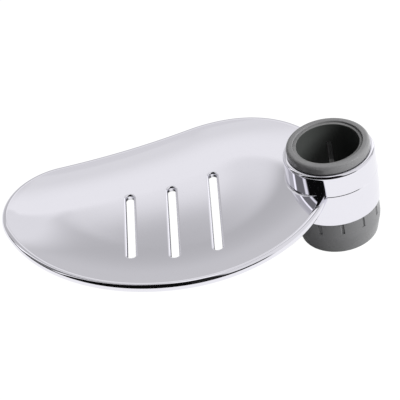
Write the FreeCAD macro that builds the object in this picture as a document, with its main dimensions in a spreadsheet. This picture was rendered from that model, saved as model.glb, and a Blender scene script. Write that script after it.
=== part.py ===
"""Soap dish for a 25 mm shower riser rail: a plated dish and collar, held by a plastic collet and nut.

The rail runs along Z through the origin. Z = 0 is the dish's parting plane, at mid-height of its rim.
The dish reaches out from the rail towards -X. All sizes are in millimetres and degrees.
"""
import FreeCAD, Part
import math
import os
import re

import Sketcher

SIZES = {
    # Rail, and the split liner that grips it
    "rail_diameter": 25.0,
    "grip_clearance": 0.1,
    "liner_wall": 1.2,
    "liner_recess": 0.7,
    "liner_seat_clearance": 0.1,
    "liner_lead_in": 0.2,
    # Gap between pieces that turn or slide on each other
    "turning_gap": 0.3,
    # Collet sleeve
    "flange_width": 0.85,
    "flange_thickness": 3.4,
    "flange_round": 1.3,
    "flange_mouth_round": 0.35,
    "sleeve_wall": 1.0,
    "finger_length": 4.3,
    "finger_tip_wall": 1.1,
    "finger_lip": 1.0,
    "slit_width": 2.0,
    "slit_top": 4.4,
    "slit_angle": 87.0,
    # Thread between the sleeve and the nut
    "thread_pitch": 3.0,
    "thread_depth": 0.9,
    "thread_length": 9.1,
    "thread_end_margin": 1.1,
    "thread_crest_width": 0.8,
    "thread_flank_run": 0.4,
    "thread_clearance": 0.25,
    "thread_weld": 0.2,
    # Collar of the dish
    "collar_top": 10.0,
    "collar_drop": 14.5,
    "collar_wall": 2.2,
    "collar_foot_taper": 0.4,
    "collar_foot_height": 6.0,
    "collar_lip_round": 1.4,
    "collar_root_round": 0.8,
    "collar_root_half_angle": 62.0,
    "seam_height": 0.45,
    "seam_width": 1.0,
    # Slip ring between the collar and the nut
    "ring_width": 0.8,
    "ring_thickness": 1.0,
    # Clamp nut
    "nut_wall": 1.2,
    "nut_height": 15.3,
    "nut_band_height": 8.0,
    "nut_foot_wall": 1.2,
    "nut_top_round": 0.4,
    "nut_shoulder_round": 9.0,
    "nut_foot_round": 0.8,
    "notch_radius": 0.8,
    "notch_depth": 0.55,
    "notch_height": 5.0,
    "notch_angle": 3.0,
    # Plan outline of the dish: how far it reaches, and the radii of its arcs
    "dish_reach": 133.1,
    "front_crest_reach": 61.5,
    "front_crest_depth": 59.0,
    "back_crest_reach": 38.5,
    "back_crest_depth": 43.0,
    "far_front_radius": 31.0,
    "front_shoulder_radius": 62.0,
    "far_back_radius": 27.5,
    "waist_radius": 300.0,
    "back_shoulder_radius": 52.0,
    # Section of the dish
    "rim_radius": 1.95,
    "dish_depth": 3.4,
    "dish_slope_width": 17.5,
    "floor_thickness": 2.3,
    "floor_overlap": 0.5,
    # Drain slots
    "slot_width": 3.2,
    "slot_mouth_round": 1.0,
    "slot_pitch": 16.95,
    "middle_slot_reach": 64.6,
    "far_slot_back": 5.5,
    "far_slot_front": 34.8,
    "middle_slot_back": 7.0,
    "middle_slot_front": 38.5,
    "near_slot_back": 12.0,
    "near_slot_front": 37.9,
}
SLIT_COUNT = 4
NOTCH_COUNT = 12
SLOT_PLACES = {"near": -1, "middle": 0, "far": 1}

# Radii and heights that follow from the sizes above, as expressions of the sheet's names
LINER_BORE = "(rail_diameter / 2 + grip_clearance)"
LINER_OUTER = f"({LINER_BORE} + liner_wall)"
SLEEVE_BORE = f"({LINER_OUTER} + liner_seat_clearance)"
THREAD_ROOT = f"({SLEEVE_BORE} + sleeve_wall)"
THREAD_CREST = f"({THREAD_ROOT} + thread_depth)"
COLLAR_BORE = f"({THREAD_CREST} + turning_gap)"
RING_OUTER = f"({COLLAR_BORE} + ring_width)"
NUT_BORE = f"({THREAD_CREST} + thread_clearance)"
LIP_BORE = f"({LINER_BORE} + turning_gap)"
FINGER_TIP = f"({LIP_BORE} + finger_tip_wall)"
FLANGE_RADIUS = f"({THREAD_CREST} + flange_width)"
COLLAR_RADIUS = f"({COLLAR_BORE} + collar_wall)"
NUT_RADIUS = f"({NUT_BORE} + nut_wall)"
NUT_FOOT_BORE = f"({FINGER_TIP} + turning_gap)"
NUT_FOOT_RADIUS = f"({NUT_FOOT_BORE} + nut_foot_wall)"

FLANGE_UNDERSIDE = "(collar_top + turning_gap)"
FLANGE_TOP = f"({FLANGE_UNDERSIDE} + flange_thickness)"
LINER_TOP = f"({FLANGE_TOP} - liner_recess)"
RING_BOTTOM = "(-collar_drop)"
RING_TOP = f"({RING_BOTTOM} + ring_thickness)"
NUT_TOP = f"({RING_BOTTOM} - turning_gap)"
NUT_BOTTOM = f"({NUT_TOP} - nut_height)"
THREAD_BOTTOM = f"({NUT_TOP} - thread_length)"
FINGER_BOTTOM = f"({THREAD_BOTTOM} - finger_length)"
LINER_SHOULDER = f"({THREAD_BOTTOM} + finger_lip)"
FLOOR_TOP = "(rim_radius - dish_depth)"
FLOOR_UNDERSIDE = f"({FLOOR_TOP} - floor_thickness)"

START, END, CENTRE = 1, 2, 3
ORIGIN = (-1, START)
X_AXIS = -1
UP = FreeCAD.Vector(0, 0, 1)

doc = FreeCAD.newDocument("riser_rail_soap_dish")
sheet = doc.addObject("Spreadsheet::Sheet", "Sizes")
for row, (name, value) in enumerate(SIZES.items(), start=1):
    sheet.set(f"A{row}", name)
    sheet.set(f"B{row}", str(value))
    sheet.setAlias(f"B{row}", name)
doc.recompute()


# ---------------------------------------------------------------- binding to the sheet

def bound(expression):
    """The same expression with each name read from the sheet."""
    return re.sub(r"[a-z_]+", lambda word: f"Sizes.{word.group()}", expression)


def size(expression):
    """The number that an expression of the sheet's names gives."""
    return float(sheet.evalExpression(expression))


def bind(thing, expressions):
    """Bind properties of an object to expressions of the sheet's names."""
    for name, expression in expressions.items():
        thing.setExpression(name, bound(expression))


# ---------------------------------------------------------------- sketches

def new_body(label):
    body = doc.addObject("PartDesign::Body", label)
    body.Label = label
    return body


def origin_item(body, role):
    return next(item for item in body.Origin.OriginFeatures if item.Role == role)


def sketch_in(body, label, role, offsets=None):
    """An empty sketch on one of the body's own origin planes, moved by bound attachment offsets."""
    sketch = body.newObject("Sketcher::SketchObject", label)
    sketch.AttachmentSupport = [(origin_item(body, role), "")]
    sketch.MapMode = "FlatFace"
    bind(sketch, {f"AttachmentOffset.{name}": value for name, value in (offsets or {}).items()})
    return sketch


def add_bound(sketch, kind, places, expression):
    """A dimension whose value is bound to an expression."""
    index = sketch.addConstraint(Sketcher.Constraint(kind, *places, size(expression)))
    sketch.setExpression(f"Constraints[{index}]", bound(expression))


def pin_across(sketch, geometry, point, across):
    add_bound(sketch, "DistanceX", (*ORIGIN, geometry, point), across)


def pin_point(sketch, geometry, point, place):
    """Hold a point of the sketch at a place given by a pair of expressions."""
    pin_across(sketch, geometry, point, place[0])
    add_bound(sketch, "DistanceY", (*ORIGIN, geometry, point), place[1])


def join(sketch, first, first_point, second, second_point):
    sketch.addConstraint(Sketcher.Constraint("Coincident", first, first_point, second, second_point))


def join_tangent(sketch, first, first_point, second, second_point):
    sketch.addConstraint(Sketcher.Constraint("Tangent", first, first_point, second, second_point))


def point_at(place):
    return FreeCAD.Vector(size(place[0]), size(place[1]), 0)


def angle_to(start, end):
    return math.atan2(end.y - start.y, end.x - start.x)


def add_arc(sketch, centre, radius, start_angle, end_angle):
    circle = Part.Circle(centre, UP, radius)
    return sketch.addGeometry(Part.ArcOfCircle(circle, start_angle, end_angle), False)


def add_lines(sketch, places):
    """Straight lines through places, each pinned at its far end and joined to the next."""
    points = [point_at(place) for place in places]
    lines = [sketch.addGeometry(Part.LineSegment(start, end), False)
             for start, end in zip(points, points[1:])]
    for line, place in zip(lines, places[1:]):
        pin_point(sketch, line, END, place)
    for line in lines[1:]:
        join(sketch, line - 1, END, line, START)
    return lines


def add_polygon(sketch, corners):
    """A closed polygon whose corners are pairs of expressions."""
    lines = add_lines(sketch, corners + corners[:1])
    join(sketch, lines[-1], END, lines[0], START)


# ---------------------------------------------------------------- features

def revolve(body, label, corners):
    """Turn a polygon of (radius, height) corners round the rail's axis."""
    sketch = sketch_in(body, label + "_section", "XZ_Plane")
    add_polygon(sketch, corners)
    return revolve_sketch(body, label, sketch)


def revolve_sketch(body, label, sketch):
    turned = body.newObject("PartDesign::Revolution", label)
    turned.Profile = sketch
    turned.ReferenceAxis = (sketch, ["V_Axis"])
    turned.Angle = 360
    doc.recompute()
    return turned


def pocket(body, label, sketch, depth):
    cut = body.newObject("PartDesign::Pocket", label)
    cut.Profile = sketch
    bind(cut, {"Length": depth})
    doc.recompute()
    return cut


def round_edges(body, feature, label, edges, radius):
    fillet = body.newObject("PartDesign::Fillet", label)
    fillet.Base = (feature, edges)
    bind(fillet, {"Radius": radius})
    doc.recompute()
    return fillet


def round_ring(body, feature, label, radius, height, round_size):
    """Fillet the feature's circular edges that lie round the rail's axis at a radius and height."""
    wanted = FreeCAD.Vector(0, 0, size(height))
    edges = []
    for index, edge in enumerate(feature.Shape.Edges, start=1):
        if not isinstance(edge.Curve, Part.Circle):
            continue
        near = edge.Curve.Center.distanceToPoint(wanted) < 1e-4
        if near and abs(edge.Curve.Radius - size(radius)) < 1e-4:
            edges.append(f"Edge{index}")
    return round_edges(body, feature, label, edges, round_size)


def repeat_round(body, feature, label, count):
    """Repeat a feature evenly round the rail's axis."""
    pattern = body.newObject("PartDesign::PolarPattern", label)
    pattern.Originals = [feature]
    pattern.Axis = (origin_item(body, "Z_Axis"), [""])
    pattern.Angle = 360
    pattern.Occurrences = count
    body.Tip = pattern
    doc.recompute()


def cut_slits(body, label):
    """Slits up from the lower end, so that the fingers between them can close on the rail."""
    sketch = sketch_in(body, label + "_plan", "XY_Plane", {"Base.z": "slit_top", "Rotation.Angle": "slit_angle"})
    half = "slit_width / 2"
    inner = "rail_diameter / 4"
    outer = "rail_diameter"
    add_polygon(sketch, [(inner, f"-{half}"), (outer, f"-{half}"), (outer, half), (inner, half)])
    slit = pocket(body, label, sketch, f"slit_top - {NUT_BOTTOM}")
    repeat_round(body, slit, label + "s", SLIT_COUNT)


def add_thread(body, label, crest, root, lowest, rise):
    """A helical ridge from its root radius to its crest radius, starting at a height above +X."""
    sketch = sketch_in(body, label + "_section", "XZ_Plane")
    half_crest = "thread_crest_width / 2"
    half_root = "(thread_crest_width / 2 + thread_flank_run)"
    add_polygon(sketch, [
        (root, f"{lowest} - {half_root}"),
        (crest, f"{lowest} - {half_crest}"),
        (crest, f"{lowest} + {half_crest}"),
        (root, f"{lowest} + {half_root}"),
    ])
    thread = body.newObject("PartDesign::AdditiveHelix", label)
    thread.Profile = sketch
    thread.ReferenceAxis = (sketch, ["V_Axis"])
    thread.Mode = "pitch-height-angle"
    bind(thread, {"Pitch": "thread_pitch", "Height": rise})
    doc.recompute()


# ---------------------------------------------------------------- the dish

def touching_radius(across, up, radius):
    """Radius of the circle centred straight above the origin and through it, that has an inside
    touch with another circle, given that one's centre and radius."""
    return (across ** 2 + up ** 2 - radius ** 2) / (2 * (up - radius))


def bridging_centre(first, first_span, second, second_span):
    """The point at the given distances from two others, on the left going from first to second."""
    step = second - first
    along = step / step.Length
    foot = (first_span ** 2 - second_span ** 2 + step.Length ** 2) / (2 * step.Length)
    rise = math.sqrt(first_span ** 2 - foot ** 2)
    return first + along * foot + FreeCAD.Vector(-along.y, along.x, 0) * rise


def add_outline(body, label, inset, offsets=None):
    """The dish's plan outline moved inwards by inset: seven arcs, each tangent to the next.

    It starts at the far end and goes along the front edge to the rail, inside the collar,
    and back along the rear edge, whose waist is the one hollow arc.
    """
    sketch = sketch_in(body, label, "XY_Plane", offsets)
    far_front = f"(far_front_radius - {inset})"
    far_back = f"(far_back_radius - {inset})"
    front_shoulder = f"(front_shoulder_radius - {inset})"
    back_shoulder = f"(back_shoulder_radius - {inset})"
    waist = f"(waist_radius + {inset})"
    far_end = (f"-(dish_reach - {inset})", "0")
    front_crest = ("-front_crest_reach", f"-(front_crest_depth - {inset})")
    back_crest = ("-back_crest_reach", f"(back_crest_depth - {inset})")

    front = point_at(front_crest)
    back = point_at(back_crest)
    far_front_centre = point_at((f"{far_end[0]} + {far_front}", "0"))
    far_back_centre = point_at((f"{far_end[0]} + {far_back}", "0"))
    from_front = far_front_centre - front
    belly = touching_radius(from_front.x, from_front.y, size(far_front))
    belly_centre = front + FreeCAD.Vector(0, belly, 0)
    front_centre = front + FreeCAD.Vector(0, size(front_shoulder), 0)
    from_back = front_centre - back
    heel = touching_radius(from_back.x, -from_back.y, size(front_shoulder))
    heel_centre = back - FreeCAD.Vector(0, heel, 0)
    back_centre = back - FreeCAD.Vector(0, size(back_shoulder), 0)
    waist_centre = bridging_centre(far_back_centre, size(f"{far_back} + {waist}"),
                                   back_centre, size(f"{back_shoulder} + {waist}"))

    crest = math.pi / 2
    far_front_turn = angle_to(belly_centre, far_front_centre)
    heel_turn = angle_to(front_centre, heel_centre)
    back_turn = angle_to(back_centre, waist_centre)
    far_back_turn = angle_to(far_back_centre, waist_centre)
    add_arc(sketch, far_front_centre, size(far_front), -math.pi, far_front_turn)
    add_arc(sketch, belly_centre, belly, far_front_turn, -crest)
    add_arc(sketch, front_centre, size(front_shoulder), -crest, heel_turn)
    add_arc(sketch, heel_centre, heel, heel_turn, crest)
    add_arc(sketch, back_centre, size(back_shoulder), crest, back_turn)
    add_arc(sketch, waist_centre, size(waist), far_back_turn + math.pi, back_turn + math.pi)
    add_arc(sketch, far_back_centre, size(far_back), far_back_turn, math.pi)

    for arc in range(4):
        join_tangent(sketch, arc, END, arc + 1, START)
    join_tangent(sketch, 4, END, 5, END)
    join_tangent(sketch, 5, START, 6, START)
    join_tangent(sketch, 6, END, 0, START)
    pin_point(sketch, 0, CENTRE, (f"{far_end[0]} + {far_front}", "0"))
    sketch.addConstraint(Sketcher.Constraint("PointOnObject", 0, START, X_AXIS))
    pin_point(sketch, 1, END, front_crest)
    pin_across(sketch, 1, CENTRE, front_crest[0])
    pin_point(sketch, 3, END, back_crest)
    pin_across(sketch, 4, CENTRE, back_crest[0])
    for arc, radius in {0: far_front, 2: front_shoulder, 4: back_shoulder, 5: waist, 6: far_back}.items():
        add_bound(sketch, "Radius", (arc,), radius)
    return sketch


def add_rim_section(body):
    """Section through the far end: a round bead, and the floor sloping down inside it.

    The slope's top is one hollow arc, tangent to the bead and level where it ends, and its
    underside is parallel to it. A short level stretch laps into the floor.
    """
    sketch = sketch_in(body, "rim_section", "XZ_Plane")
    bead = ("-dish_reach + rim_radius", "0")
    slope_end = ("-dish_reach + dish_slope_width", FLOOR_TOP)
    slope_end_under = (slope_end[0], FLOOR_UNDERSIDE)
    lap_end = (f"{slope_end[0]} + floor_overlap", FLOOR_TOP)
    lap_end_under = (lap_end[0], FLOOR_UNDERSIDE)

    rim = size("rim_radius")
    run = size("dish_slope_width - rim_radius")
    slope = touching_radius(run, size(f"-{FLOOR_TOP}"), -rim)
    slope_centre = point_at(slope_end) + FreeCAD.Vector(0, slope, 0)
    under = slope + size("floor_thickness")
    touch = angle_to(point_at(bead), slope_centre)
    span = slope + rim
    spread = math.acos((span ** 2 + rim ** 2 - under ** 2) / (2 * rim * span))
    meet = touch - spread
    meeting = point_at(bead) + FreeCAD.Vector(math.cos(meet), math.sin(meet), 0) * rim
    down = -math.pi / 2
    add_arc(sketch, point_at(bead), rim, touch, meet + 2 * math.pi)
    add_arc(sketch, slope_centre, slope, touch - math.pi, down)
    add_arc(sketch, slope_centre, under, angle_to(slope_centre, meeting), down)
    lines = add_lines(sketch, [slope_end_under, lap_end_under, lap_end])
    closing = sketch.addGeometry(Part.LineSegment(point_at(lap_end), point_at(slope_end)), False)

    pin_point(sketch, 0, CENTRE, bead)
    add_bound(sketch, "Radius", (0,), "rim_radius")
    join_tangent(sketch, 0, START, 1, START)
    pin_point(sketch, 1, END, slope_end)
    pin_across(sketch, 1, CENTRE, slope_end[0])
    join(sketch, 2, CENTRE, 1, CENTRE)
    join(sketch, 2, START, 0, END)
    pin_point(sketch, 2, END, slope_end_under)
    join(sketch, lines[0], START, 2, END)
    join(sketch, closing, START, lines[-1], END)
    join(sketch, closing, END, 1, END)
    return sketch


def add_collar_root(body):
    """Hollow round where the floor runs up into the collar, on the dish's side of the rail only."""
    sketch = sketch_in(body, "collar_root_section", "XZ_Plane")
    on_floor = (f"-({COLLAR_RADIUS} + collar_root_round)", FLOOR_TOP)
    on_collar = (f"-{COLLAR_RADIUS}", f"{FLOOR_TOP} + collar_root_round")
    in_collar = (f"-({COLLAR_RADIUS} - turning_gap)", on_collar[1])
    in_corner = (in_collar[0], f"{FLOOR_TOP} - turning_gap")
    in_floor = (on_floor[0], in_corner[1])
    centre = point_at((on_floor[0], on_collar[1]))
    arc = add_arc(sketch, centre, size("collar_root_round"), -math.pi / 2, 0)
    lines = add_lines(sketch, [on_collar, in_collar, in_corner, in_floor, on_floor])
    pin_point(sketch, lines[0], START, on_collar)
    join(sketch, arc, END, lines[0], START)
    join(sketch, arc, START, lines[-1], END)
    add_bound(sketch, "Radius", (arc,), "collar_root_round")
    root = revolve_sketch(body, "collar_root", sketch)
    root.Midplane = True
    bind(root, {"Angle": "collar_root_half_angle * 2"})
    doc.recompute()


def add_slot(sketch, across, front, back):
    """A slot along Y with round ends, given its middle line and how far forward and back it reaches."""
    low = (across, f"-{front} + slot_width / 2")
    high = (across, f"{back} - slot_width / 2")
    half = size("slot_width / 2")
    side = FreeCAD.Vector(half, 0, 0)
    first = add_arc(sketch, point_at(low), half, -math.pi, 0)
    sketch.addGeometry(Part.LineSegment(point_at(low) + side, point_at(high) + side), False)
    add_arc(sketch, point_at(high), half, 0, math.pi)
    sketch.addGeometry(Part.LineSegment(point_at(high) - side, point_at(low) - side), False)
    for index in range(4):
        join_tangent(sketch, first + index, END, first + (index + 1) % 4, START)
    for arc, centre in ((first, low), (first + 2, high)):
        pin_point(sketch, arc, CENTRE, centre)
        add_bound(sketch, "Radius", (arc,), "slot_width / 2")


def slot_across(place):
    return f"-(middle_slot_reach + {place} * slot_pitch)"


def slot_mouths(feature):
    """The feature's edges round the slots' upper mouths."""
    reach = size("slot_width")
    middles = [size(slot_across(place)) for place in SLOT_PLACES.values()]
    lowest = size(f"{FLOOR_TOP} - slot_mouth_round / 2")
    names = []
    for index, edge in enumerate(feature.Shape.Edges, start=1):
        box = edge.BoundBox
        in_slot = any(abs(box.Center.x - middle) < reach and box.XLength < 2 * reach for middle in middles)
        if in_slot and lowest < box.ZMin < size("rim_radius"):
            names.append(f"Edge{index}")
    return names


def build_soap_dish():
    """Plated plastic moulding: the dish with its bead rim and drain slots, in one with the collar."""
    body = new_body("soap_dish")
    rim = body.newObject("PartDesign::AdditivePipe", "rim_and_slope")
    rim.Profile = add_rim_section(body)
    rim.Spine = (add_outline(body, "dish_outline", "0"), [])
    rim.Mode = "Standard"
    body.Tip = rim
    doc.recompute()

    floor = body.newObject("PartDesign::Pad", "floor")
    floor.Profile = add_outline(body, "floor_outline", "dish_slope_width", {"Base.z": FLOOR_UNDERSIDE})
    bind(floor, {"Length": "floor_thickness"})
    doc.recompute()

    clearing = sketch_in(body, "collar_seat_plan", "XY_Plane", {"Base.z": "collar_top"})
    clearing_radius = f"({COLLAR_RADIUS} + {COLLAR_BORE}) / 2"
    clearing.addGeometry(Part.Circle(FreeCAD.Vector(), UP, size(clearing_radius)), False)
    join(clearing, 0, CENTRE, *ORIGIN)
    add_bound(clearing, "Radius", (0,), clearing_radius)
    pocket(body, "collar_seat", clearing, "collar_top + collar_drop")

    recess_radius = f"({RING_OUTER} + turning_gap)"
    recess_top = f"({RING_TOP} + turning_gap)"
    foot_top = "-collar_drop + collar_foot_height"
    seam_crest = f"{COLLAR_RADIUS} + seam_height"
    collar = revolve(body, "collar", [
        (COLLAR_BORE, recess_top),
        (recess_radius, recess_top),
        (recess_radius, RING_BOTTOM),
        (f"{COLLAR_RADIUS} - collar_foot_taper", RING_BOTTOM),
        (COLLAR_RADIUS, foot_top),
        (COLLAR_RADIUS, "-seam_width / 2"),
        (seam_crest, "-seam_width / 6"),
        (seam_crest, "seam_width / 6"),
        (COLLAR_RADIUS, "seam_width / 2"),
        (COLLAR_RADIUS, "collar_top"),
        (COLLAR_BORE, "collar_top"),
    ])
    round_ring(body, collar, "collar_lip", COLLAR_RADIUS, "collar_top", "collar_lip_round")
    add_collar_root(body)

    plan = sketch_in(body, "slots_plan", "XY_Plane", {"Base.z": "rim_radius"})
    for name, place in SLOT_PLACES.items():
        add_slot(plan, slot_across(place), f"{name}_slot_front", f"{name}_slot_back")
    slots = pocket(body, "slots", plan, f"rim_radius * 2 - {FLOOR_UNDERSIDE}")
    round_edges(body, slots, "slot_mouths", slot_mouths(slots), "slot_mouth_round")
    return body


# ---------------------------------------------------------------- the rail clamp

def build_collet_sleeve():
    """Plastic sleeve through the collar: a flange on top, a thread and split fingers below."""
    body = new_body("collet_sleeve")
    turned = revolve(body, "sleeve_turned", [
        (SLEEVE_BORE, FLANGE_TOP),
        (FLANGE_RADIUS, FLANGE_TOP),
        (FLANGE_RADIUS, FLANGE_UNDERSIDE),
        (THREAD_CREST, FLANGE_UNDERSIDE),
        (THREAD_CREST, NUT_TOP),
        (THREAD_ROOT, NUT_TOP),
        (THREAD_ROOT, THREAD_BOTTOM),
        (FINGER_TIP, FINGER_BOTTOM),
        (LIP_BORE, FINGER_BOTTOM),
        (LIP_BORE, LINER_SHOULDER),
        (SLEEVE_BORE, LINER_SHOULDER),
    ])
    rounded = round_ring(body, turned, "flange_edge", FLANGE_RADIUS, FLANGE_TOP, "flange_round")
    round_ring(body, rounded, "flange_mouth", SLEEVE_BORE, FLANGE_TOP, "flange_mouth_round")
    add_thread(body, "sleeve_thread", THREAD_CREST, f"{THREAD_ROOT} - thread_weld",
               f"({THREAD_BOTTOM} + thread_end_margin)", "thread_length - 2 * thread_end_margin")
    cut_slits(body, "sleeve_slit")
    return body


def build_grip_liner():
    """Split plastic liner inside the sleeve. It grips the rail, and rests on the fingers' lip."""
    body = new_body("grip_liner")
    lowest = f"({LINER_SHOULDER} + liner_seat_clearance)"
    revolve(body, "liner_turned", [
        (LINER_BORE, lowest),
        (LINER_OUTER, lowest),
        (LINER_OUTER, LINER_TOP),
        (f"{LINER_BORE} + liner_lead_in", LINER_TOP),
        (LINER_BORE, f"{LINER_TOP} - liner_lead_in"),
    ])
    cut_slits(body, "liner_slit")
    return body


def build_slip_ring():
    """Plain ring in the collar's foot, so that the nut turns without dragging the dish round."""
    body = new_body("slip_ring")
    revolve(body, "ring_turned", [
        (COLLAR_BORE, RING_BOTTOM),
        (RING_OUTER, RING_BOTTOM),
        (RING_OUTER, RING_TOP),
        (COLLAR_BORE, RING_TOP),
    ])
    return body


def build_clamp_nut():
    """Plastic nut with grip notches. Its thread draws it up, and its cone closes the fingers."""
    body = new_body("clamp_nut")
    band_bottom = f"({NUT_TOP} - nut_band_height)"
    turned = revolve(body, "nut_turned", [
        (NUT_BORE, NUT_TOP),
        (NUT_RADIUS, NUT_TOP),
        (NUT_RADIUS, band_bottom),
        (NUT_FOOT_RADIUS, NUT_BOTTOM),
        (NUT_FOOT_BORE, NUT_BOTTOM),
        (NUT_FOOT_BORE, FINGER_BOTTOM),
        (f"{THREAD_ROOT} + turning_gap", THREAD_BOTTOM),
        (NUT_BORE, THREAD_BOTTOM),
    ])
    shoulder = round_ring(body, turned, "nut_shoulder", NUT_RADIUS, band_bottom, "nut_shoulder_round")
    foot = round_ring(body, shoulder, "nut_foot", NUT_FOOT_RADIUS, NUT_BOTTOM, "nut_foot_round")
    round_ring(body, foot, "nut_top_edge", NUT_RADIUS, NUT_TOP, "nut_top_round")
    add_thread(body, "nut_thread", f"{THREAD_ROOT} + thread_clearance", f"{NUT_BORE} + thread_weld",
               f"({THREAD_BOTTOM} + thread_end_margin + thread_pitch / 2)",
               "thread_length - 2 * thread_end_margin - thread_pitch / 2")
    plan = sketch_in(body, "notch_plan", "XY_Plane", {"Base.z": NUT_TOP, "Rotation.Angle": "notch_angle"})
    plan.addGeometry(Part.Circle(point_at((NUT_RADIUS, "0")), UP, size("notch_radius")), False)
    pin_point(plan, 0, CENTRE, (f"{NUT_RADIUS} + notch_radius - notch_depth", "0"))
    add_bound(plan, "Radius", (0,), "notch_radius")
    repeat_round(body, pocket(body, "notch", plan, "notch_height"), "notches", NOTCH_COUNT)
    return body


# ---------------------------------------------------------------- build, check and write

bodies = [build_soap_dish(), build_collet_sleeve(), build_grip_liner(), build_slip_ring(), build_clamp_nut()]
doc.recompute()
for item in doc.Objects:
    if "Invalid" in item.State or "Error" in item.State:
        raise RuntimeError(f"{item.Label} failed: {item.getStatusString()}")
for body in bodies:
    if body.Shape.isNull() or not body.Shape.isValid() or len(body.Shape.Solids) != 1:
        raise RuntimeError(f"{body.Label} is not one valid solid")

os.makedirs("parts", exist_ok=True)
for body in bodies:
    body.Shape.exportStep(f"parts/{body.Label}.step")
    print(body.Label, "volume", round(body.Shape.Volume, 1))
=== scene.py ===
"""Looks of a chrome-plated soap dish that clamps to a 25 mm shower riser rail."""
import math

import bpy
from mathutils import Matrix, Vector
from mathutils.geometry import delaunay_2d_cdt


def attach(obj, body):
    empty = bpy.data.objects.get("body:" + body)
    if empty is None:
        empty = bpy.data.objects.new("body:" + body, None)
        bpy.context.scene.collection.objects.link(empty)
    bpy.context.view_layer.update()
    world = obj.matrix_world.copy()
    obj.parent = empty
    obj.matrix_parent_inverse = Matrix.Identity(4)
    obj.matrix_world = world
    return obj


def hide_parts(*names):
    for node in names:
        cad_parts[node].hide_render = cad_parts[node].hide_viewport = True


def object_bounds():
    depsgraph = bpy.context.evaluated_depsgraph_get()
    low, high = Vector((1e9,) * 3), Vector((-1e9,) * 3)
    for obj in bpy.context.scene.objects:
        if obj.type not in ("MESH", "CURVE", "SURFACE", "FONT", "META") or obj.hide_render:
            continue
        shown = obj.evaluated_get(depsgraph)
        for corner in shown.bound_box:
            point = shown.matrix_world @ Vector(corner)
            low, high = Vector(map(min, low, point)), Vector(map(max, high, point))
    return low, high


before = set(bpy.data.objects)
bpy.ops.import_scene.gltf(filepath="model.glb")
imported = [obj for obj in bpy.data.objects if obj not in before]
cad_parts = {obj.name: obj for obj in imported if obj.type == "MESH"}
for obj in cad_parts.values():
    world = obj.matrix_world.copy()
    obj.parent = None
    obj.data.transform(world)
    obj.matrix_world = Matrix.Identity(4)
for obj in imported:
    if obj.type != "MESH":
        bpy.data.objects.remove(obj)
cad_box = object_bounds()


# ---------------------------------------------------------------- collet sleeve
# The sleeve that carries the dish: a wide flange on top, and a thread and split fingers below.
# Injection moulded in mid-grey plastic, taken out of a spark-eroded mould, so it is satin all over.
# It is pushed down through the collar before the nut goes on.

def new_material(name):
    """A node material, with its nodes, its links and its main shader."""
    material = bpy.data.materials.new(name)
    material.use_nodes = True
    tree = material.node_tree
    return material, tree.nodes, tree.links, tree.nodes["Principled BSDF"]


def add_node(nodes, kind, settings=None, **sockets):
    """A node with its plain settings, and values for the sockets named with _ for a space."""
    node = nodes.new(kind)
    for name, value in (settings or {}).items():
        setattr(node, name, value)
    for name, value in sockets.items():
        node.inputs[name.replace("_", " ")].default_value = value
    return node


def map_level(nodes, links, source, low, high, low_to, high_to):
    """A smooth change from one level to another while the source goes from low to high."""
    node = add_node(nodes, "ShaderNodeMapRange", {"interpolation_type": "SMOOTHSTEP"},
                    From_Min=low, From_Max=high, To_Min=low_to, To_Max=high_to)
    links.new(source, node.inputs["Value"])
    return node.outputs["Result"]


def build_moulded_skin():
    """Skin of a plastic moulding: fine mould grain, cloudy gloss, and paler rubbed edges."""
    group = bpy.data.node_groups.new("moulded_skin", "ShaderNodeTree")
    sockets = group.interface
    for name, kind, value in (
        ("Colour", "NodeSocketColor", (0.2, 0.2, 0.2, 1)),
        ("Rubbed Colour", "NodeSocketColor", (0.4, 0.4, 0.4, 1)),
        ("Gloss Low", "NodeSocketFloat", 0.3),
        ("Gloss High", "NodeSocketFloat", 0.45),
        ("Grain Size", "NodeSocketFloat", 3000.0),
    ):
        sockets.new_socket(name, in_out="INPUT", socket_type=kind).default_value = value
    for name, kind in (
        ("Colour", "NodeSocketColor"),
        ("Roughness", "NodeSocketFloat"),
        ("Height", "NodeSocketFloat"),
    ):
        sockets.new_socket(name, in_out="OUTPUT", socket_type=kind)
    nodes, links = group.nodes, group.links
    given = nodes.new("NodeGroupInput")
    made = nodes.new("NodeGroupOutput")
    place = nodes.new("ShaderNodeTexCoord")

    grain = add_node(nodes, "ShaderNodeTexNoise", Detail=3.0, Roughness=0.6)
    links.new(place.outputs["Object"], grain.inputs["Vector"])
    links.new(given.outputs["Grain Size"], grain.inputs["Scale"])
    links.new(grain.outputs["Fac"], made.inputs["Height"])

    cloud = add_node(nodes, "ShaderNodeTexNoise", Scale=90.0, Detail=4.0, Roughness=0.55)
    links.new(place.outputs["Object"], cloud.inputs["Vector"])
    gloss = add_node(nodes, "ShaderNodeMix", {"data_type": "FLOAT"})
    links.new(map_level(nodes, links, cloud.outputs["Fac"], 0.35, 0.65, 0.0, 1.0), gloss.inputs["Factor"])
    links.new(given.outputs["Gloss Low"], gloss.inputs["A"])
    links.new(given.outputs["Gloss High"], gloss.inputs["B"])
    links.new(gloss.outputs["Result"], made.inputs["Roughness"])

    shape = nodes.new("ShaderNodeNewGeometry")
    edge = map_level(nodes, links, shape.outputs["Pointiness"], 0.52, 0.62, 0.0, 0.7)
    broken = add_node(nodes, "ShaderNodeMath", {"operation": "MULTIPLY"})
    links.new(edge, broken.inputs[0])
    links.new(map_level(nodes, links, cloud.outputs["Fac"], 0.3, 0.6, 0.2, 1.0), broken.inputs[1])
    rubbed = add_node(nodes, "ShaderNodeMix", {"data_type": "RGBA"})
    links.new(broken.outputs[0], rubbed.inputs["Factor"])
    links.new(given.outputs["Colour"], rubbed.inputs["A"])
    links.new(given.outputs["Rubbed Colour"], rubbed.inputs["B"])
    links.new(rubbed.outputs["Result"], made.inputs["Colour"])
    return group


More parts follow.
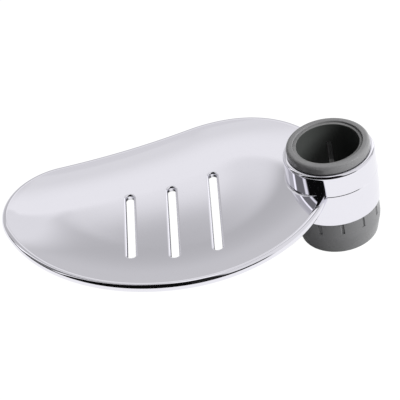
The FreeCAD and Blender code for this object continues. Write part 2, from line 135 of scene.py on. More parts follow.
def new_plastic(name, colour, rubbed, gloss, grain_size, grain_depth, specular):
    """A moulded plastic with the shared skin in its own colours, gloss and grain."""
    material, nodes, links, shader = new_material(name)
    skin = add_node(nodes, "ShaderNodeGroup", {"node_tree": moulded_skin},
                    Colour=(*colour, 1), Rubbed_Colour=(*rubbed, 1),
                    Gloss_Low=gloss[0], Gloss_High=gloss[1], Grain_Size=grain_size)
    bump = add_node(nodes, "ShaderNodeBump", Strength=0.35, Distance=grain_depth)
    links.new(skin.outputs["Colour"], shader.inputs["Base Color"])
    links.new(skin.outputs["Roughness"], shader.inputs["Roughness"])
    links.new(skin.outputs["Height"], bump.inputs["Height"])
    links.new(bump.outputs["Normal"], shader.inputs["Normal"])
    shader.inputs["Specular IOR Level"].default_value = specular
    return material


def finish_node(name, material):
    """Give a carried-over piece its finish."""
    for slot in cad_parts[name].material_slots:
        slot.material = material


moulded_skin = build_moulded_skin()
sleeve_grey = new_plastic("satin_grey_plastic", (0.165, 0.165, 0.168), (0.26, 0.26, 0.265),
                          (0.18, 0.30), 2600.0, 0.00003, 0.5)
finish_node("collet_sleeve", sleeve_grey)


# ---------------------------------------------------------------- grip liner
# The split liner that grips the rail, dropped into the sleeve from above.
# Moulded in a softer, darker plastic, matt, so that it holds on polished tube. Its inner face
# has painted shade, darker still, as the deep bore stands in shade.

GRIP_RADIUS = 0.0126


def build_beyond_radius():
    """Mask that goes from 0 to 1 between two distances from the rail's axis."""
    group = bpy.data.node_groups.new("beyond_radius", "ShaderNodeTree")
    sockets = group.interface
    for name, radius in (("Near", 0.012), ("Far", 0.013)):
        sockets.new_socket(name, in_out="INPUT", socket_type="NodeSocketFloat").default_value = radius
    sockets.new_socket("Beyond", in_out="OUTPUT", socket_type="NodeSocketFloat")
    nodes, links = group.nodes, group.links
    given = nodes.new("NodeGroupInput")
    made = nodes.new("NodeGroupOutput")
    place = nodes.new("ShaderNodeTexCoord")
    level_place = add_node(nodes, "ShaderNodeVectorMath", {"operation": "MULTIPLY"})
    level_place.inputs[1].default_value = (1, 1, 0)
    from_axis = add_node(nodes, "ShaderNodeVectorMath", {"operation": "LENGTH"})
    beyond = add_node(nodes, "ShaderNodeMapRange", {"interpolation_type": "SMOOTHSTEP"})
    links.new(place.outputs["Object"], level_place.inputs[0])
    links.new(level_place.outputs["Vector"], from_axis.inputs[0])
    links.new(from_axis.outputs["Value"], beyond.inputs["Value"])
    links.new(given.outputs["Near"], beyond.inputs["From Min"])
    links.new(given.outputs["Far"], beyond.inputs["From Max"])
    links.new(beyond.outputs["Result"], made.inputs["Beyond"])
    return group


beyond_radius = build_beyond_radius()


def mask_beyond(nodes, near, far):
    """Mask of what lies further out from the rail's axis, soft between two radii."""
    mask = add_node(nodes, "ShaderNodeGroup", {"node_tree": beyond_radius}, Near=near, Far=far)
    return mask.outputs["Beyond"]


liner_grey = new_plastic("matt_liner_plastic", (0.12, 0.121, 0.122), (0.22, 0.22, 0.22),
                         (0.36, 0.48), 4200.0, 0.00004, 0.35)
nodes, links = liner_grey.node_tree.nodes, liner_grey.node_tree.links
base_colour = nodes["Principled BSDF"].inputs["Base Color"]
# Painted shade: the bore's inner face is given a darker colour, for the shade deep in the hole
painted_bore_shade = add_node(nodes, "ShaderNodeMix", {"data_type": "RGBA"})
painted_bore_shade.inputs["A"].default_value = (0.042, 0.045, 0.043, 1)
links.new(mask_beyond(nodes, GRIP_RADIUS + 0.00002, GRIP_RADIUS + 0.00015), painted_bore_shade.inputs["Factor"])
links.new(base_colour.links[0].from_socket, painted_bore_shade.inputs["B"])
links.new(painted_bore_shade.outputs["Result"], base_colour)
finish_node("grip_liner", liner_grey)


# ---------------------------------------------------------------- soap dish
# Dish and collar moulded as one piece in ABS plastic, polished, and plated with bright chrome.
# A round bead stiffens the rim, and three slots drain the floor, which is very slightly dished.
# It turns on the sleeve, between the flange above and the slip ring below.

MM = 0.001
UP = Vector((0, 0, 1))

# Sizes are in millimetres. Heights are above the middle of the rim's bead, and the slope's end and
# the strip's width are distances inwards from the rim's outer edge.
RIM_RADIUS = 1.95
FLOOR_TOP = -0.9
FLOOR_THICKNESS = 2.3
SLOPE_END = 30.0
STRIP_WIDTH = 15.0
DISHING = 1.3
DISHING_CENTRE = (-62.0, -5.0)
DISHING_SPAN = (75.0, 52.0)

FAR_FRONT = Vector((-102.1, 0.0))
FRONT_CREST = Vector((-61.5, -59.0))
BACK_CREST = Vector((-38.5, 43.0))
FAR_BACK = Vector((-105.6, 0.0))
FAR_FRONT_RADIUS = 31.0
FRONT_SHOULDER_RADIUS = 62.0
BACK_SHOULDER_RADIUS = 52.0
FAR_BACK_RADIUS = 27.5
WAIST_RADIUS = 300.0


def angle_to(start, end):
    """Direction from one point to another."""
    return math.atan2(end.y - start.y, end.x - start.x)


def touching_radius(across, up, radius):
    """Radius of the circle through a crest that has an inside touch with another circle."""
    return (across ** 2 + up ** 2 - radius ** 2) / (2 * (up - radius))


def bridging_centre(first, first_span, second, second_span):
    """Centre of the hollow arc that bridges two arcs, at the given distances from theirs."""
    step = second - first
    along = step.normalized()
    foot = (first_span ** 2 - second_span ** 2 + step.length_squared) / (2 * step.length)
    rise = math.sqrt(first_span ** 2 - foot ** 2)
    return first + along * foot + Vector((-along.y, along.x)) * rise


def lay_out_outline():
    """The rim's seven arcs, each as centre, radius, start angle, end angle and bulge.

    They run from the far end along the front, inside the collar, and back along the rear.
    The bulge is 1 for an arc that bulges outwards, and -1 for the hollow waist.
    """
    to_front = FAR_FRONT - FRONT_CREST
    belly_radius = touching_radius(to_front.x, to_front.y, FAR_FRONT_RADIUS)
    belly = FRONT_CREST + Vector((0, belly_radius))
    front = FRONT_CREST + Vector((0, FRONT_SHOULDER_RADIUS))
    to_back = front - BACK_CREST
    heel_radius = touching_radius(to_back.x, -to_back.y, FRONT_SHOULDER_RADIUS)
    heel = BACK_CREST - Vector((0, heel_radius))
    back = BACK_CREST - Vector((0, BACK_SHOULDER_RADIUS))
    waist = bridging_centre(FAR_BACK, FAR_BACK_RADIUS + WAIST_RADIUS,
                            back, BACK_SHOULDER_RADIUS + WAIST_RADIUS)
    crest = math.pi / 2
    far_turn = angle_to(belly, FAR_FRONT)
    heel_turn = angle_to(front, heel)
    back_turn = angle_to(back, waist)
    far_back_turn = angle_to(FAR_BACK, waist)
    return [
        (FAR_FRONT, FAR_FRONT_RADIUS, -math.pi, far_turn, 1),
        (belly, belly_radius, far_turn, -crest, 1),
        (front, FRONT_SHOULDER_RADIUS, -crest, heel_turn, 1),
        (heel, heel_radius, heel_turn, crest, 1),
        (back, BACK_SHOULDER_RADIUS, crest, back_turn, 1),
        (waist, WAIST_RADIUS, back_turn + math.pi, far_back_turn + math.pi, -1),
        (FAR_BACK, FAR_BACK_RADIUS, far_back_turn, math.pi, 1),
    ]


OUTLINE = lay_out_outline()


def walk_outline(step):
    """Points round the rim's outer edge with their inward directions, about a step apart."""
    for centre, radius, start, end, bulge in OUTLINE:
        count = math.ceil(abs(end - start) * radius / step)
        for index in range(count):
            angle = start + (end - start) * index / count
            outward = Vector((math.cos(angle), math.sin(angle)))
            yield centre + outward * radius, -outward * bulge


def edge_distance(point):
    """Distance inwards from the rim's outer edge, and the inward direction there."""
    best, inward = math.inf, Vector((1, 0))
    for centre, radius, start, end, bulge in OUTLINE:
        offset = point - centre
        low, high = min(start, end), max(start, end)
        turn = (math.atan2(offset.y, offset.x) - low) % (2 * math.pi)
        if turn > high - low + 1e-6:
            continue
        distance = (radius - offset.length) * bulge
        if distance < best:
            best, inward = distance, -offset.normalized() * bulge
    return best, inward


def find_slope_start():
    """Where the slope leaves the bead: distance, height and steepness, for a slope with no kink."""
    lean = 0.4
    for _ in range(40):
        start = RIM_RADIUS * (1 + math.sin(lean))
        top = RIM_RADIUS * math.cos(lean)
        steepness = 3 * (top - FLOOR_TOP) / (SLOPE_END - start)
        lean = math.atan(steepness)
    return start, top, steepness, lean


SLOPE_START, SLOPE_TOP, STEEPNESS, SLOPE_LEAN = find_slope_start()


def slope_point(distance, underside=False):
    """Height and section normal of the floor at a distance from the rim's outer edge.

    The slope eases off evenly as it runs in, so that the plating shows no line where it ends.
    """
    left = max(0.0, (SLOPE_END - distance) / (SLOPE_END - SLOPE_START))
    steepness = STEEPNESS * left ** 2
    height = FLOOR_TOP + steepness * left * (SLOPE_END - SLOPE_START) / 3
    slant = math.hypot(1, steepness)
    normal = Vector((steepness, 1)) / slant
    if underside:
        return height - FLOOR_THICKNESS * slant, -normal
    return height, normal


def dishing_at(point):
    """How far the floor is dished below its level, and how fast that changes along X and Y."""
    across = (point.x - DISHING_CENTRE[0]) / DISHING_SPAN[0]
    along = (point.y - DISHING_CENTRE[1]) / DISHING_SPAN[1]
    left = max(0.0, 1 - across ** 2 - along ** 2)
    rate = -4 * DISHING * left
    return DISHING * left ** 2, (rate * across / DISHING_SPAN[0], rate * along / DISHING_SPAN[1])


class Moulding:
    """Vertices, faces and exact surface normals of one moulding, in millimetres."""

    def __init__(self):
        self.places, self.normals, self.faces = [], [], []

    def add(self, place, normal, dished=True):
        """Add a vertex, let down with the floor's dishing unless it is above it. Gives its number."""
        if dished:
            drop, (across, along) = dishing_at(place)
            place = place - UP * drop
            normal = Vector((normal.x + normal.z * across, normal.y + normal.z * along, normal.z))
        self.places.append(place)
        self.normals.append(normal.normalized())
        return len(self.places) - 1

    def bridge(self, rings, closed):
        """Faces between neighbouring rings of vertices."""
        for first, second in zip(rings, rings[1:]):
            count = len(first)
            for index in range(count if closed else count - 1):
                after = (index + 1) % count
                self.faces.append((first[index], first[after], second[after], second[index]))

    def drop_inside(self, radius):
        """Leave out the faces whose middles lie nearer to the rail's axis than a radius."""
        kept = []
        for face in self.faces:
            middle = sum((self.places[corner] for corner in face), Vector()) / len(face)
            if middle.to_2d().length > radius:
                kept.append(face)
        self.faces = kept

    def to_object(self, name):
        """The finished mesh, in metres, with no loose vertices and with the exact normals."""
        used = sorted({corner for face in self.faces for corner in face})
        index_of = {old: new for new, old in enumerate(used)}
        mesh = bpy.data.meshes.new(name)
        faces = []
        for face in self.faces:
            a, b, c = (self.places[corner] for corner in face[:3])
            facing = (b - a).cross(c - a).dot(self.normals[face[0]] + self.normals[face[2]])
            corners = [index_of[corner] for corner in face]
            faces.append(corners if facing > 0 else corners[::-1])
        mesh.from_pydata([self.places[old] * MM for old in used], [], faces)
        mesh.shade_smooth()
        mesh.normals_split_custom_set_from_vertices([self.normals[old] for old in used])
        thing = bpy.data.objects.new(name, mesh)
        bpy.context.collection.objects.link(thing)
        return thing


def arc_angles(start, end, steps):
    """Angles from one to another, evenly spaced, with both ends."""
    return [start + (end - start) * index / steps for index in range(steps + 1)]


SLOPE_STEPS = 24
BEAD_STEPS = 48
UNDERSIDE_STEPS = 16
RIM_STEP = 0.9


def rim_section():
    """The rim's section from the strip's inner edge over the bead and back below it.

    Each point is its distance from the edge, its height, and its normal's two parts.
    """
    points = []
    for index in range(SLOPE_STEPS + 1):
        distance = STRIP_WIDTH + (SLOPE_START - STRIP_WIDTH) * index / SLOPE_STEPS
        points.append((distance, *slope_point(distance)))
    meet_distance = SLOPE_START
    while math.hypot(meet_distance - RIM_RADIUS, slope_point(meet_distance, True)[0]) > RIM_RADIUS:
        meet_distance -= 0.01
    while math.hypot(meet_distance - RIM_RADIUS, slope_point(meet_distance, True)[0]) < RIM_RADIUS:
        meet_distance += 0.01
    meet_height = slope_point(meet_distance, True)[0]
    start = math.pi / 2 - SLOPE_LEAN
    end = math.atan2(meet_height, meet_distance - RIM_RADIUS) + 2 * math.pi
    for angle in arc_angles(start, end, BEAD_STEPS)[1:]:
        normal = Vector((math.cos(angle), math.sin(angle)))
        points.append((RIM_RADIUS + normal.x * RIM_RADIUS, normal.y * RIM_RADIUS, normal))
    for index in range(1, UNDERSIDE_STEPS + 1):
        distance = meet_distance + (STRIP_WIDTH - meet_distance) * index / UNDERSIDE_STEPS
        points.append((distance, *slope_point(distance, True)))
    return points


def mould_rim(moulding):
    """Sweep the section round the outline. Gives the strip's two inner rings, and their places."""
    columns = list(walk_outline(RIM_STEP))
    rings = []
    for distance, height, normal in rim_section():
        ring = []
        for edge, inward in columns:
            spot = edge + inward * distance
            facing = inward * normal.x
            ring.append(moulding.add(Vector((*spot, height)), Vector((*facing, normal.y))))
        rings.append(ring)
    moulding.bridge(rings, closed=True)
    return rings[0], rings[-1], [edge + inward * STRIP_WIDTH for edge, inward in columns]


SLOT_HALF_WIDTH = 1.6
SLOT_MOUTH_ROUND = 1.0
SLOT_FOOT_ROUND = 0.25
SLOT_END_STEPS = 24
SLOT_SIDE_STEPS = 36
# Each slot's place across the dish, its front end and its back end
SLOTS = ((-81.55, -34.8, 5.5), (-64.6, -38.5, 7.0), (-47.65, -37.9, 12.0))


def slot_outline(slot, half_width):
    """Points round a slot's edge at a half width, with their outward directions."""
    across, front, back = slot
    low = Vector((across, front + SLOT_HALF_WIDTH))
    high = Vector((across, back - SLOT_HALF_WIDTH))
    points = []
    for centre, start, other, side in ((high, 0, low, -1), (low, math.pi, high, 1)):
        for angle in arc_angles(start, start + math.pi, SLOT_END_STEPS):
            outward = Vector((math.cos(angle), math.sin(angle)))
            points.append((centre + outward * half_width, outward))
        for index in range(1, SLOT_SIDE_STEPS):
            outward = Vector((side, 0))
            middle = centre.lerp(other, index / SLOT_SIDE_STEPS)
            points.append((middle + outward * half_width, outward))
    return points


def slot_distance(point, slot):
    """Distance of a point from a slot's middle line."""
    across, front, back = slot
    nearest = min(max(point.y, front + SLOT_HALF_WIDTH), back - SLOT_HALF_WIDTH)
    return (point - Vector((across, nearest))).length


def floor_vertex(moulding, spot, lowered=0.0, lean=None, share=0.0, underside=False):
    """A vertex on the floor's top or underside, lowered and leant over where a round starts."""
    distance, inward = edge_distance(spot)
    height, section_normal = slope_point(distance, underside)
    normal = Vector((*(inward * section_normal.x), section_normal.y))
    if lean is not None:
        normal = normal * math.cos(share) + Vector((*lean, 0)) * math.sin(share)
    return moulding.add(Vector((*spot, height - lowered)), normal)


FLOOR_SPACING = 1.3
FLOOR_CORNER = Vector((-135, -60))
FLOOR_REACH = Vector((140, 110))
MOUTH_REACH = SLOT_HALF_WIDTH + SLOT_MOUTH_ROUND


def spread_spots():
    """Spots in even triangles all over the floor, clear of its edge and of the slots."""
    row_height = FLOOR_SPACING * math.sqrt(3) / 2
    for row in range(math.ceil(FLOOR_REACH.y / row_height)):
        for column in range(math.ceil(FLOOR_REACH.x / FLOOR_SPACING)):
            spot = FLOOR_CORNER + Vector((FLOOR_SPACING * (column + row % 2 / 2), row_height * row))
            if edge_distance(spot)[0] < STRIP_WIDTH + FLOOR_SPACING / 2:
                continue
            if any(slot_distance(spot, slot) < MOUTH_REACH + FLOOR_SPACING / 2 for slot in SLOTS):
                continue
            yield spot


def line_slot(moulding, slot, top_mouth, under_mouth):
    """The slot's rounded mouth, its wall and its foot, between the floor's two sides."""
    rings = [top_mouth]
    for angle in arc_angles(0, math.pi / 2, 10)[1:]:
        offset = SLOT_MOUTH_ROUND * (1 - math.sin(angle))
        lowered = SLOT_MOUTH_ROUND * (1 - math.cos(angle))
        rings.append([floor_vertex(moulding, spot, lowered, -outward, angle)
                      for spot, outward in slot_outline(slot, SLOT_HALF_WIDTH + offset)])
    for angle in arc_angles(math.pi / 2, 0, 4):
        offset = SLOT_FOOT_ROUND * (1 - math.sin(angle))
        raised = SLOT_FOOT_ROUND * (1 - math.cos(angle))
        rings.append([floor_vertex(moulding, spot, -raised, -outward, angle, underside=True)
                      for spot, outward in slot_outline(slot, SLOT_HALF_WIDTH + offset)])
    moulding.bridge(rings + [under_mouth], closed=True)


def mould_floor(moulding, top_ring, under_ring, edge_places):
    """Fill the strip's inner edge, top and underside, round the slots, and line the slots."""
    spots = list(edge_places)
    count = len(spots)
    borders = [(index, (index + 1) % count) for index in range(count)]
    mouths = []
    for slot in SLOTS:
        mouth = slot_outline(slot, MOUTH_REACH)
        first = len(spots)
        spots += [spot for spot, _ in mouth]
        borders += [(first + index, first + (index + 1) % len(mouth)) for index in range(len(mouth))]
        mouths.append(range(first, first + len(mouth)))
    spots += spread_spots()

    places, _, triangles, sources, _, _ = delaunay_2d_cdt(spots, borders, [], 0, 1e-6)
    inside = []
    for triangle in triangles:
        middle = sum((places[corner] for corner in triangle), Vector((0, 0))) / 3
        in_floor = edge_distance(middle)[0] > STRIP_WIDTH
        in_slot = any(slot_distance(middle, slot) < MOUTH_REACH for slot in SLOTS)
        if in_floor and not in_slot:
            inside.append(triangle)

    both_sides = []
    for underside, ring in ((False, top_ring), (True, under_ring)):
        corners = []
        for place, source in zip(places, sources):
            on_ring = [index for index in source if index < count]
            if on_ring:
                corners.append(ring[on_ring[0]])
            else:
                corners.append(floor_vertex(moulding, place, underside=underside))
        moulding.faces += [tuple(corners[corner] for corner in triangle) for triangle in inside]
        corner_of = {index: corner for corner, source in zip(corners, sources) for index in source}
        both_sides.append([[corner_of[index] for index in mouth] for mouth in mouths])

    for slot, top_mouth, under_mouth in zip(SLOTS, *both_sides):
        line_slot(moulding, slot, top_mouth, under_mouth)


def rounded_profile(corners, steps):
    """A closed profile of (radius, height, corner round), as points with exact normals."""
    points = []
    count = len(corners)
    area = sum(corners[i][0] * corners[(i + 1) % count][1] - corners[(i + 1) % count][0] * corners[i][1]
               for i in range(count))
    side = math.copysign(1, area)
    for index, (radius, height, corner_round) in enumerate(corners):
        corner = Vector((radius, height))
        before = (Vector(corners[index - 1][:2]) - corner).normalized()
        after = (Vector(corners[(index + 1) % count][:2]) - corner).normalized()
        half = math.acos(max(-1, min(1, before.dot(after)))) / 2
        centre = corner + (before + after).normalized() * (corner_round / math.sin(half))
        first = corner + before * (corner_round / math.tan(half)) - centre
        last = corner + after * (corner_round / math.tan(half)) - centre
        turn = -before.cross(after)
        swing = math.copysign(math.pi - 2 * half, turn)
        bulge = math.copysign(1, turn) * side
        start = math.atan2(first.y, first.x)
        for angle in arc_angles(start, start + swing, steps):
            direction = Vector((math.cos(angle), math.sin(angle)))
            points.append((centre + direction * corner_round, direction * bulge))
    return points


COLLAR_BORE = 16.1
RING_SEAT_RADIUS = 17.2
RING_SEAT = -13.2
COLLAR_FOOT_RADIUS = 17.9
COLLAR_FOOT = -14.5
COLLAR_FLARE_END = -8.5
COLLAR_RADIUS = 18.3
COLLAR_TOP = 10.0
COLLAR_STEPS = 256
SEAM_HEIGHT = 0.16
SEAM_SPREAD = 0.4


def mould_collar(moulding):
    """Turn the collar's profile round the rail's axis, with the parting seam round its middle."""
    profile = rounded_profile([
        (COLLAR_BORE, RING_SEAT, 0.1),
        (RING_SEAT_RADIUS, RING_SEAT, 0.1),
        (RING_SEAT_RADIUS, COLLAR_FOOT, 0.1),
        (COLLAR_FOOT_RADIUS, COLLAR_FOOT, 0.3),
        (COLLAR_RADIUS, COLLAR_FLARE_END, 4.0),
        (COLLAR_RADIUS, -SEAM_SPREAD, 0.3),
        (COLLAR_RADIUS + SEAM_HEIGHT, 0.0, 0.3),
        (COLLAR_RADIUS, SEAM_SPREAD, 0.3),
        (COLLAR_RADIUS, COLLAR_TOP, 1.4),
        (COLLAR_BORE, COLLAR_TOP, 0.2),
    ], steps=8)
    rings = []
    for spot, normal in profile:
        ring = []
        for index in range(COLLAR_STEPS):
            angle = 2 * math.pi * index / COLLAR_STEPS
            turn = Vector((math.cos(angle), math.sin(angle)))
            place = Vector((*(turn * spot.x), spot.y))
            facing = Vector((*(turn * normal.x), normal.y))
            ring.append(moulding.add(place, facing, dished=False))
        rings.append(ring)
    moulding.bridge(rings + rings[:1], closed=True)


ROOT_ROUND = 0.8
ROOT_END_ROUND = 0.2
ROOT_HALF_ANGLE = math.radians(66)
ROOT_FULL_SHARE = 0.7


def mould_collar_root(moulding):
    """Hollow round between the floor and the collar, fading out where the rim climbs past."""
    rings = []
    for across in arc_angles(math.pi - ROOT_HALF_ANGLE, math.pi + ROOT_HALF_ANGLE, 120):
        past_full = max(0.0, abs(across - math.pi) / ROOT_HALF_ANGLE - ROOT_FULL_SHARE)
        fade = 0.5 - 0.5 * math.cos(past_full / (1 - ROOT_FULL_SHARE) * math.pi)
        root_round = ROOT_ROUND + (ROOT_END_ROUND - ROOT_ROUND) * fade
        turn = Vector((math.cos(across), math.sin(across)))
        foot = turn * (COLLAR_RADIUS + root_round)
        distance, inward = edge_distance(foot)
        height, section_normal = slope_point(distance)
        level = Vector((*(inward * section_normal.x), section_normal.y))
        ring = []
        for angle in arc_angles(0, math.pi / 2, 12):
            radius = COLLAR_RADIUS + root_round * (1 - math.sin(angle))
            rise = root_round * (1 - math.cos(angle))
            normal = level * math.cos(angle) + Vector((*turn, 0)) * math.sin(angle)
            ring.append(moulding.add(Vector((*(turn * radius), height + rise)), normal))
        rings.append(ring)
    moulding.bridge(rings, closed=False)


dish_moulding = Moulding()
mould_floor(dish_moulding, *mould_rim(dish_moulding))
dish_moulding.drop_inside((COLLAR_BORE + COLLAR_RADIUS) / 2)
mould_collar(dish_moulding)
mould_collar_root(dish_moulding)
soap_dish = dish_moulding.to_object("chrome_soap_dish")


def build_plating_flaws():
    """What keeps bright plating from a perfect mirror: a slow ripple, haze and wiping marks."""
    group = bpy.data.node_groups.new("plating_flaws", "ShaderNodeTree")
    sockets = group.interface
    for name, value in (("Clean Roughness", 0.03), ("Hazy Roughness", 0.08)):
        sockets.new_socket(name, in_out="INPUT", socket_type="NodeSocketFloat").default_value = value
    for name in ("Roughness", "Ripple"):
        sockets.new_socket(name, in_out="OUTPUT", socket_type="NodeSocketFloat")
    nodes, links = group.nodes, group.links
    given = nodes.new("NodeGroupInput")
    made = nodes.new("NodeGroupOutput")
    place = nodes.new("ShaderNodeTexCoord")
    haze = add_node(nodes, "ShaderNodeTexNoise", Scale=38.0, Detail=5.0, Roughness=0.5)
    wiping = add_node(nodes, "ShaderNodeMapping", Scale=(40.0, 900.0, 900.0), Rotation=(0.0, 0.0, 0.5))
    marks = add_node(nodes, "ShaderNodeTexNoise", Scale=1.0, Detail=2.0, Roughness=0.5)
    ripple = add_node(nodes, "ShaderNodeTexNoise", Scale=160.0, Detail=1.0, Roughness=0.4)
    for texture in (haze, ripple):
        links.new(place.outputs["Object"], texture.inputs["Vector"])
    links.new(place.outputs["Object"], wiping.inputs["Vector"])
    links.new(wiping.outputs["Vector"], marks.inputs["Vector"])
    both = add_node(nodes, "ShaderNodeMath", {"operation": "MULTIPLY"})
    links.new(map_level(nodes, links, haze.outputs["Fac"], 0.4, 0.7, 0.1, 1.0), both.inputs[0])
    links.new(map_level(nodes, links, marks.outputs["Fac"], 0.35, 0.75, 0.4, 1.0), both.inputs[1])
    amount = add_node(nodes, "ShaderNodeMix", {"data_type": "FLOAT"})
    links.new(both.outputs[0], amount.inputs["Factor"])
    links.new(given.outputs["Clean Roughness"], amount.inputs["A"])
    links.new(given.outputs["Hazy Roughness"], amount.inputs["B"])
    links.new(amount.outputs["Result"], made.inputs["Roughness"])
    links.new(ripple.outputs["Fac"], made.inputs["Ripple"])
    return group


# The collar's bore is left unplated and shows the pale plastic
bright_chrome, nodes, links, shader = new_material("bright_chrome_plating")
flaws = add_node(nodes, "ShaderNodeGroup", {"node_tree": build_plating_flaws()},
                 Clean_Roughness=0.03, Hazy_Roughness=0.075)
plating_bump = add_node(nodes, "ShaderNodeBump", Strength=0.1, Distance=0.00001)
plated = mask_beyond(nodes, (COLLAR_BORE + 0.1) * MM, (COLLAR_BORE + 0.4) * MM)
tone = add_node(nodes, "ShaderNodeMix", {"data_type": "RGBA"})
tone.inputs["A"].default_value = (0.70, 0.70, 0.71, 1)
tone.inputs["B"].default_value = (0.783, 0.775, 0.831, 1)
links.new(plated, tone.inputs["Factor"])
links.new(plated, shader.inputs["Metallic"])
links.new(tone.outputs["Result"], shader.inputs["Base Color"])
links.new(flaws.outputs["Roughness"], shader.inputs["Roughness"])
links.new(flaws.outputs["Ripple"], plating_bump.inputs["Height"])
links.new(plating_bump.outputs["Normal"], shader.inputs["Normal"])
soap_dish.data.materials.append(bright_chrome)
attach(soap_dish, "dish")
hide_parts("soap_dish")


# ---------------------------------------------------------------- slip ring
# Plain ring let into the collar's foot, so that the nut turns without dragging the dish round.
# Punched and turned from black acetal, which slides dry.

ring_black = new_plastic("black_acetal", (0.02, 0.02, 0.021), (0.05, 0.05, 0.05),
                         (0.28, 0.36), 3400.0, 0.00002, 0.5)
finish_node("slip_ring", ring_black)


# ---------------------------------------------------------------- clamp nut
# The nut that closes the clamp: its thread draws it up, and its cone squeezes the fingers.
# Moulded in the same grey plastic as the sleeve, with notches round it for wet hands.

nut_grey = new_plastic("satin_grey_nut_plastic", (0.16, 0.161, 0.165), (0.26, 0.26, 0.265),
                       (0.26, 0.36), 2600.0, 0.00003, 0.35)
finish_node("clamp_nut", nut_grey)


# ---------------------------------------------------------------- studio
# A white light table in a soft room: light above and to the right, grey behind, and dark round the
# camera, which looks down on the dish from the front. A pale card behind the dish lights its floor.

def combine(operation, *values):
    """One step of arithmetic, on sockets or plain values, in the node tree being laid out."""
    node = add_node(nodes, "ShaderNodeMath", {"operation": operation})
    for socket, value in zip(node.inputs, values):
        if isinstance(value, bpy.types.NodeSocket):
            links.new(value, socket)
        else:
            socket.default_value = value
    return node.outputs[0]


def blend(source, low, high, low_to=0.0, high_to=1.0):
    """A smooth change of level in the node tree being laid out."""
    return map_level(nodes, links, source, low, high, low_to, high_to)


def mixed(share, low, high):
    """Level between two others by a share."""
    return combine("ADD", combine("MULTIPLY", combine("SUBTRACT", 1.0, share), low),
                   combine("MULTIPLY", share, high))


def off_middle(source, middle):
    """How far a level lies from a middle, on either side."""
    return combine("ABSOLUTE", combine("SUBTRACT", source, middle))


def lay_mesh(name, corners):
    """A flat four-cornered sheet in the scene, in metres."""
    mesh = bpy.data.meshes.new(name)
    mesh.from_pydata(corners, [], [(0, 1, 2, 3)])
    sheet = bpy.data.objects.new(name, mesh)
    bpy.context.collection.objects.link(sheet)
    return sheet


TABLE_REACH = 6.0
table_height = cad_box[0].z


def painted_oval_shadow(centre, reach, inner, outer, darkest):
    """Level of the table under an oval of painted shadow, which softens between two shares of its reach."""
    oval = add_node(nodes, "ShaderNodeMapping", {"vector_type": "TEXTURE"},
                    Location=(*centre, table_height), Scale=(*reach, 1.0))
    from_centre = add_node(nodes, "ShaderNodeVectorMath", {"operation": "LENGTH"})
    links.new(place.outputs["Object"], oval.inputs["Vector"])
    links.new(oval.outputs["Vector"], from_centre.inputs[0])
    return blend(from_centre.outputs["Value"], inner, outer, darkest, 1.0)


light_table = lay_mesh("light_table", [
    (-TABLE_REACH, -TABLE_REACH, table_height),
    (TABLE_REACH, -TABLE_REACH, table_height),
    (TABLE_REACH, TABLE_REACH, table_height),
    (-TABLE_REACH, TABLE_REACH, table_height),
])
lit_acrylic, nodes, links, shader = new_material("lit_white_acrylic")
shader.inputs["Base Color"].default_value = (0.05, 0.05, 0.05, 1)
shader.inputs["Roughness"].default_value = 0.9
shader.inputs["Specular IOR Level"].default_value = 0.0
shader.inputs["Emission Color"].default_value = (1, 1, 1, 1)
place = nodes.new("ShaderNodeTexCoord")
seen = nodes.new("ShaderNodeLightPath")

# The camera sees the table white all over. The chrome mirrors it with painted shadow under the dish
# and beside the nut, and little of it reaches the grey plastics as soft light.
painted_shadow_under_dish = painted_oval_shadow((-0.070, 0.018), (0.062, 0.046), 0.6, 1.1, 0.06)
painted_shadow_beside_nut = painted_oval_shadow((-0.018, 0.004), (0.026, 0.026), 0.55, 1.0, 0.15)
# Painted shadow: the table's glow is dimmed under the nut's foot
painted_shadow_under_nut = combine("MULTIPLY_ADD", mask_beyond(nodes, 0.0135, 0.0148), 0.2, 0.8)
shown = combine("MAXIMUM", combine("MULTIPLY", painted_shadow_under_dish, painted_shadow_beside_nut), seen.outputs["Is Camera Ray"])
spill = blend(seen.outputs["Is Diffuse Ray"], 0.0, 1.0, 1.0, 0.05)
glow = combine("MULTIPLY", combine("MULTIPLY", shown, spill), painted_shadow_under_nut)
links.new(glow, shader.inputs["Emission Strength"])
light_table.data.materials.append(lit_acrylic)

room = bpy.data.worlds.new("studio_room")
room.use_nodes = True
bpy.context.scene.world = room
nodes, links = room.node_tree.nodes, room.node_tree.links
direction = nodes.new("ShaderNodeTexCoord")
seen = nodes.new("ShaderNodeLightPath")
parts = nodes.new("ShaderNodeSeparateXYZ")
links.new(direction.outputs["Generated"], parts.inputs["Vector"])
to_right, to_back, to_top = (parts.outputs[axis] for axis in "XYZ")

# Every direction is a bearing, from straight behind the dish round to the right, and a height above
# the horizon, both in degrees. Levels of light are shares of the table's white.
bearing = combine("MULTIPLY", combine("ARCTAN2", to_right, to_back), 180 / math.pi)
height = combine("MULTIPLY", combine("ARCSINE", to_top), 180 / math.pi)

# Behind the dish: light above and to the right, and a grey corner whose edge leans to the right
CORNER_BEARING = 22.9
CORNER_LEAN = 0.74
LIT_WALL = 0.885
past_corner = combine("MULTIPLY_ADD", height, CORNER_LEAN, combine("SUBTRACT", bearing, CORNER_BEARING))
lit_share = combine("MAXIMUM", blend(past_corner, -2.8, 2.8), blend(height, 46.0, 50.0))
grey_corner = blend(height, 18.0, 36.0, 0.67, 0.55)
back_level = mixed(lit_share, grey_corner, blend(height, 55.0, 70.0, LIT_WALL, 0.8))

# On the right: a bright strip of the wall, and a dim one beside it
for middle, half_width, change in ((36.0, 6.0, 0.45), (56.0, 8.0, -0.35)):
    strip = blend(off_middle(bearing, middle), half_width, half_width + 3.0, change, 0.0)
    back_level = combine("ADD", back_level, strip)

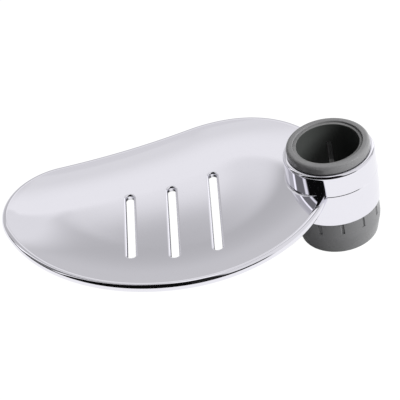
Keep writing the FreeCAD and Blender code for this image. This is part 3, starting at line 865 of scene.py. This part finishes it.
# On the left: a pale wall, and a darker one nearer the camera, with a bright strip beside each
left_turn = combine("ABSOLUTE", bearing)
left_level = mixed(blend(left_turn, 70.0, 74.0), 0.58, 0.22)
for middle in (70.0, 100.0):
    left_level = combine("ADD", left_level, blend(off_middle(left_turn, middle), 2.0, 5.0, 0.9, 0.0))
on_left = blend(bearing, -50.0, -36.0, 1.0, 0.0)
room_level = mixed(on_left, back_level, left_level)

# Round the camera the room is black up to the light overhead. The black reaches further to the
# left low down, and less far to the right higher up.
low_reach = blend(height, 9.0, 15.0, 42.0, 0.0)
high_retreat = blend(height, 15.0, 35.0, 0.0, 30.0)
black_left = blend(combine("SUBTRACT", bearing, low_reach), -106.0, -101.0, 1.0, 0.0)
black_right = blend(combine("SUBTRACT", bearing, high_retreat), 118.0, 128.0)
blackness = blend(seen.outputs["Is Diffuse Ray"], 0.0, 1.0, 0.98, 0.5)
black = combine("MULTIPLY", combine("MAXIMUM", black_left, black_right), blackness)
room_level = combine("MULTIPLY", room_level, combine("SUBTRACT", 1.0, black))
OVERHEAD_LIGHT = 1.35
level = mixed(blend(height, 78.0, 85.0), room_level, OVERHEAD_LIGHT)
background = nodes["Background"]
background.inputs["Color"].default_value = (1.0, 0.998, 1.004, 1)
links.new(level, background.inputs["Strength"])

CARD_SIDES = (-0.34, 0.14)
CARD_HEIGHTS = (0.20, 0.65)
CARD_BACK = 0.30
back_card = lay_mesh("back_card", [
    (CARD_SIDES[0], CARD_BACK, CARD_HEIGHTS[0]),
    (CARD_SIDES[1], CARD_BACK, CARD_HEIGHTS[0]),
    (CARD_SIDES[1], CARD_BACK, CARD_HEIGHTS[1]),
    (CARD_SIDES[0], CARD_BACK, CARD_HEIGHTS[1]),
])
back_card.visible_camera = False
lit_card, nodes, links, shader = new_material("lit_back_card")
shader.inputs["Base Color"].default_value = (0, 0, 0, 1)
shader.inputs["Specular IOR Level"].default_value = 0.0
shader.inputs["Emission Color"].default_value = (1, 0.998, 1, 1)
place = nodes.new("ShaderNodeTexCoord")
card_place = nodes.new("ShaderNodeSeparateXYZ")
links.new(place.outputs["Object"], card_place.inputs["Vector"])
across, up = card_place.outputs["X"], card_place.outputs["Z"]

# The card is brightest low down in its middle, and its lower edge fades out, higher up on the right
upper_level = blend(up, 0.29, 0.50, 1.0, 0.86)
left_level = blend(across, -0.30, -0.15, 0.88, 1.0)
right_level = blend(across, -0.045, 0.02, 1.0, 0.88)
card_glow = combine("MULTIPLY", combine("MULTIPLY", upper_level, left_level), right_level)
edge_rise = blend(across, -0.075, -0.045, 0.0, 0.02)
links.new(card_glow, shader.inputs["Emission Strength"])
links.new(blend(combine("SUBTRACT", up, edge_rise), 0.224, 0.246), shader.inputs["Alpha"])
back_card.data.materials.append(lit_card)

softbox_data = bpy.data.lights.new("side_softbox", "AREA")
softbox_data.shape = "RECTANGLE"
softbox_data.size = 0.7
softbox_data.size_y = 0.5
softbox_data.energy = 23.0
side_softbox = bpy.data.objects.new("side_softbox", softbox_data)
bpy.context.collection.objects.link(side_softbox)
side_softbox.location = (1.0, -0.45, 0.55)
side_softbox.rotation_euler = side_softbox.location.to_track_quat("Z", "Y").to_euler()
side_softbox.visible_glossy = False
side_softbox.visible_camera = False

AIM = Vector((-52.9, -10.9, 3.0)) * MM
CAMERA_DISTANCE = 0.9
azimuth, elevation, roll = (math.radians(angle) for angle in (3.87, 37.52, -10.93))
to_camera = Vector((math.sin(azimuth) * math.cos(elevation), -math.cos(azimuth) * math.cos(elevation),
                    math.sin(elevation)))
camera_data = bpy.data.cameras.new("camera")
camera_data.lens = 205.7
camera_data.sensor_width = 36
camera = bpy.data.objects.new("camera", camera_data)
bpy.context.collection.objects.link(camera)
camera.rotation_mode = "QUATERNION"
camera.rotation_quaternion = to_camera.to_track_quat("Z", "Y") @ Matrix.Rotation(roll, 3, "Z").to_quaternion()
camera.location = AIM + to_camera * CAMERA_DISTANCE
bpy.context.scene.camera = camera
bpy.context.scene.view_settings.view_transform = "Standard"
